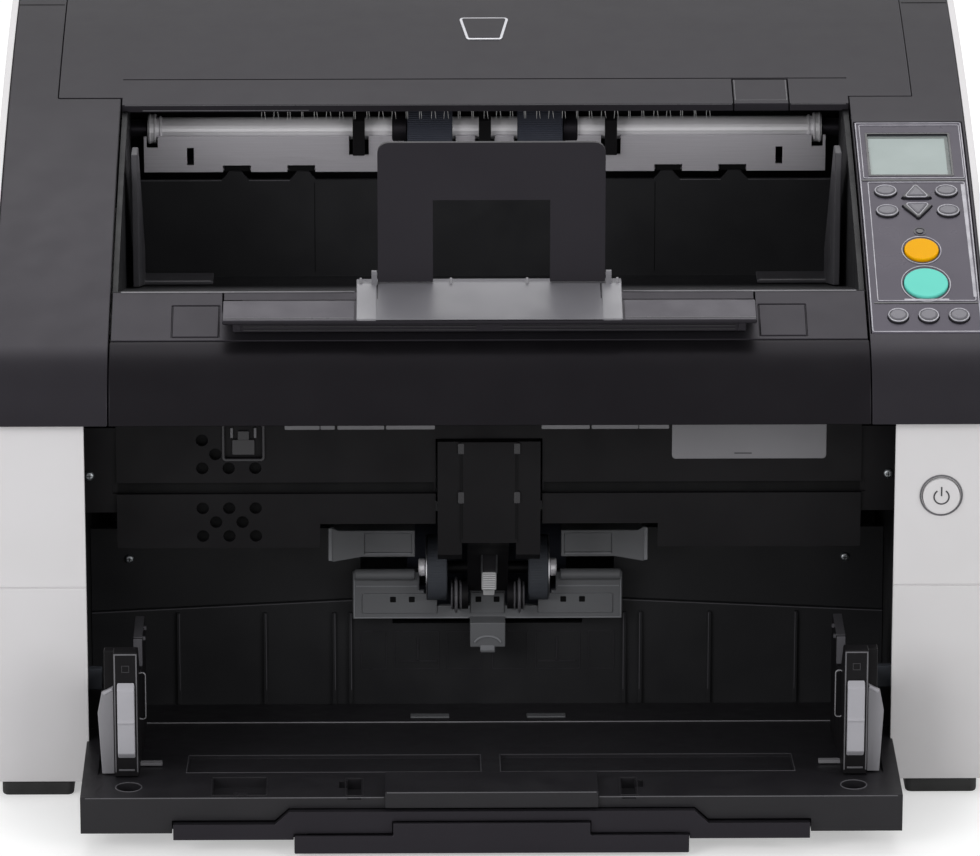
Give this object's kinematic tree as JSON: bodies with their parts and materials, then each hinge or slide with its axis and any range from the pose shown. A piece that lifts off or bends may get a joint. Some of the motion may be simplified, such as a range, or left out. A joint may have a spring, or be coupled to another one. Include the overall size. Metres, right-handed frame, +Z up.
{
  "type": "document scanner",
  "caption": "Desktop document scanner: front hopper bay with a lifting table, curved hinged feeder cover, top stacker with fold-up stopper, and an operator panel.",
  "frame": {"origin": "on the floor, under the middle of the bounding box", "axes": "+X to the right seen from the front, +Y to the back, +Z up; the hopper and the stacker open towards -Y"},
  "size_m": [0.46, 0.43, 0.3097],
  "materials": {
    "cover_black": "satin",
    "deep_black": "satin",
    "tray_black": "matt",
    "shell_white": "matt",
    "foot_rubber": "matt",
    "steel": "zinc plated",
    "coated_steel": "black, satin",
    "chrome": "polished",
    "stainless": "brushed",
    "rubber_navy": "matt, finely ribbed",
    "guide_grey": "satin",
    "grip_grey": "satin",
    "slide_grey": "satin",
    "panel_grey": "satin gloss",
    "button_grey": "gloss",
    "display": "gloss",
    "stop_orange": "satin gloss",
    "scan_green": "satin gloss",
    "board_green": "satin",
    "brush": "fine fibres",
    "motor": "satin"
  },
  "bodies": {
    "frame": {"chassis": "coated_steel", "foot_front_left": "foot_rubber", "foot_rear_left": "foot_rubber", "foot_front_right": "foot_rubber", "foot_rear_right": "foot_rubber", "left_side_shell": "shell_white", "right_side_shell": "shell_white", "left_top_cover": "cover_black", "right_top_cover": "cover_black", "front_beam": "cover_black", "rear_cover": "shell_white", "lower_scan_unit": "deep_black", "exit_plate": "stainless", "stacker_tray": "tray_black", "stacker_front_cover": "cover_black", "inner_panel": "deep_black", "pick_guide": "guide_grey", "sheet_guide": "guide_grey", "hopper_back_wall": "deep_black", "drive_motor": "motor", "main_board": "board_green", "power_supply": "steel", "panel_body": "panel_grey", "lcd_display": "display"},
    "feeder_cover": {"adf_cover": "cover_black", "upper_scan_unit": "deep_black", "static_brush": "brush"},
    "release_tab": {"adf_latch": "cover_black"},
    "exit_rollers": {"eject_shaft": "chrome", "eject_roller_left": "rubber_navy", "eject_roller_right": "rubber_navy"},
    "stacker_extension": {"stacker_extension": "cover_black"},
    "stopper_slide": {"stopper_slide": "slide_grey"},
    "stopper_flap": {"stopper_flap": "cover_black"},
    "left_stacker_guide": {"left_stacker_guide": "tray_black"},
    "right_stacker_guide": {"right_stacker_guide": "tray_black"},
    "pick_arm": {"pick_arm": "deep_black"},
    "pick_rollers": {"pick_roller_left": "rubber_navy", "pick_roller_right": "rubber_navy"},
    "feed_roller": {"feed_roller": "rubber_navy"},
    "brake_roller": {"brake_roller": "rubber_navy"},
    "hopper": {"hopper_table": "cover_black"},
    "left_hopper_guide": {"left_hopper_guide": "deep_black", "left_guide_grip": "grip_grey"},
    "right_hopper_guide": {"right_hopper_guide": "deep_black", "right_guide_grip": "grip_grey"},
    "hopper_extension": {"hopper_extension": "cover_black"},
    "hopper_extension_end": {"hopper_extension_end": "cover_black"},
    "menu_button": {"menu_button": "button_grey"},
    "function_button": {"function_button": "button_grey"},
    "send_button": {"send_button": "button_grey"},
    "clear_button": {"clear_button": "button_grey"},
    "up_button": {"up_button": "button_grey"},
    "down_button": {"down_button": "button_grey"},
    "stop_button": {"stop_button": "stop_orange"},
    "scan_button": {"scan_button": "scan_green"},
    "counter_button_left": {"counter_button_left": "button_grey"},
    "counter_button_centre": {"counter_button_centre": "button_grey"},
    "counter_button_right": {"counter_button_right": "button_grey"},
    "power_button": {"power_button": "shell_white"}
  },
  "joints": [
    {"name": "feeder_cover_hinge", "type": "hinge", "parent": "frame", "child": "feeder_cover", "pos_m": [0, 0.203, 0.297], "axis": [-1, 0, 0], "range_deg": [0, 45]},
    {"name": "release_tab_hinge", "type": "hinge", "parent": "feeder_cover", "child": "release_tab", "pos_m": [0.13125, 0.0753, 0.28252], "axis": [-1, 0, 0], "range_deg": [0, 12], "stiffness_Nm_per_rad": 0.05},
    {"name": "exit_roller_spin", "type": "hinge", "parent": "frame", "child": "exit_rollers", "pos_m": [0, 0.091, 0.2556], "axis": [1, 0, 0], "continuous": true},
    {"name": "stacker_extension_slide", "type": "slide", "parent": "frame", "child": "stacker_extension", "axis": [0, -0.9613, 0.2756], "range_m": [0, 0.09]},
    {"name": "stopper_slide_slide", "type": "slide", "parent": "stacker_extension", "child": "stopper_slide", "axis": [0, -0.9613, 0.2756], "range_m": [0, 0.018]},
    {"name": "stopper_flap_hinge", "type": "hinge", "parent": "stopper_slide", "child": "stopper_flap", "pos_m": [0, -0.095, 0.2384], "axis": [-1, 0, 0], "range_deg": [0, 95]},
    {"name": "left_stacker_guide_slide", "type": "slide", "parent": "frame", "child": "left_stacker_guide", "axis": [1, 0, 0], "range_m": [0, 0.11]},
    {"name": "right_stacker_guide_slide", "type": "slide", "parent": "frame", "child": "right_stacker_guide", "axis": [-1, 0, 0], "range_m": [0, 0.11]},
    {"name": "pick_arm_hinge", "type": "hinge", "parent": "frame", "child": "pick_arm", "pos_m": [0, -0.072, 0.148], "axis": [1, 0, 0], "range_deg": [0, 6]},
    {"name": "feed_roller_spin", "type": "hinge", "parent": "frame", "child": "feed_roller", "pos_m": [0, 0.01, 0.072], "axis": [1, 0, 0], "continuous": true},
    {"name": "brake_roller_spin", "type": "hinge", "parent": "frame", "child": "brake_roller", "pos_m": [0, 0.01, 0.0474], "axis": [1, 0, 0], "continuous": true},
    {"name": "pick_roller_spin", "type": "hinge", "parent": "pick_arm", "child": "pick_rollers", "pos_m": [0, -0.033, 0.075], "axis": [1, 0, 0], "continuous": true},
    {"name": "hopper_lift", "type": "slide", "parent": "frame", "child": "hopper", "axis": [0, 0, 1], "range_m": [0, 0.028]},
    {"name": "left_hopper_guide_slide", "type": "slide", "parent": "hopper", "child": "left_hopper_guide", "axis": [1, 0, 0], "range_m": [0, 0.118]},
    {"name": "right_hopper_guide_slide", "type": "slide", "parent": "hopper", "child": "right_hopper_guide", "axis": [1, 0, 0], "range_m": [-0.118, 0]},
    {"name": "hopper_extension_slide", "type": "slide", "parent": "hopper", "child": "hopper_extension", "axis": [0, -1, 0], "range_m": [0, 0.06]},
    {"name": "hopper_extension_end_slide", "type": "slide", "parent": "hopper_extension", "child": "hopper_extension_end", "axis": [0, -1, 0], "range_m": [0, 0.06]},
    {"name": "menu_button_press", "type": "slide", "parent": "frame", "child": "menu_button", "axis": [0, 0.3421, -0.9397], "range_m": [0, 0.0008], "stiffness_N_per_m": 600},
    {"name": "function_button_press", "type": "slide", "parent": "frame", "child": "function_button", "axis": [0, 0.3421, -0.9397], "range_m": [0, 0.0008], "stiffness_N_per_m": 600},
    {"name": "send_button_press", "type": "slide", "parent": "frame", "child": "send_button", "axis": [0, 0.3562, -0.9344], "range_m": [0, 0.0008], "stiffness_N_per_m": 600},
    {"name": "clear_button_press", "type": "slide", "parent": "frame", "child": "clear_button", "axis": [0, 0.3562, -0.9344], "range_m": [0, 0.0008], "stiffness_N_per_m": 600},
    {"name": "up_button_press", "type": "slide", "parent": "frame", "child": "up_button", "axis": [0, 0.3421, -0.9397], "range_m": [0, 0.0008], "stiffness_N_per_m": 600},
    {"name": "down_button_press", "type": "slide", "parent": "frame", "child": "down_button", "axis": [0, 0.3562, -0.9344], "range_m": [0, 0.0008], "stiffness_N_per_m": 600},
    {"name": "stop_button_press", "type": "slide", "parent": "frame", "child": "stop_button", "axis": [0, 0.3823, -0.924], "range_m": [0, 0.0008], "stiffness_N_per_m": 600},
    {"name": "scan_button_press", "type": "slide", "parent": "frame", "child": "scan_button", "axis": [0, 0.404, -0.9148], "range_m": [0, 0.0008], "stiffness_N_per_m": 600},
    {"name": "counter_button_left_press", "type": "slide", "parent": "frame", "child": "counter_button_left", "axis": [0, 0.4243, -0.9055], "range_m": [0, 0.0008], "stiffness_N_per_m": 600},
    {"name": "counter_button_centre_press", "type": "slide", "parent": "frame", "child": "counter_button_centre", "axis": [0, 0.4243, -0.9055], "range_m": [0, 0.0008], "stiffness_N_per_m": 600},
    {"name": "counter_button_right_press", "type": "slide", "parent": "frame", "child": "counter_button_right", "axis": [0, 0.4243, -0.9055], "range_m": [0, 0.0008], "stiffness_N_per_m": 600},
    {"name": "power_button_press", "type": "slide", "parent": "frame", "child": "power_button", "axis": [0, 1, 0], "range_m": [0, 0.0008], "stiffness_N_per_m": 600}
  ],
  "couplings": [
    {"joint": "right_hopper_guide_slide", "follows": "left_hopper_guide_slide", "ratio": -1},
    {"joint": "brake_roller_spin", "follows": "feed_roller_spin", "ratio": -1},
    {"joint": "pick_roller_spin", "follows": "feed_roller_spin", "ratio": 0.7742},
    {"joint": "exit_roller_spin", "follows": "feed_roller_spin", "ratio": 1}
  ]
}
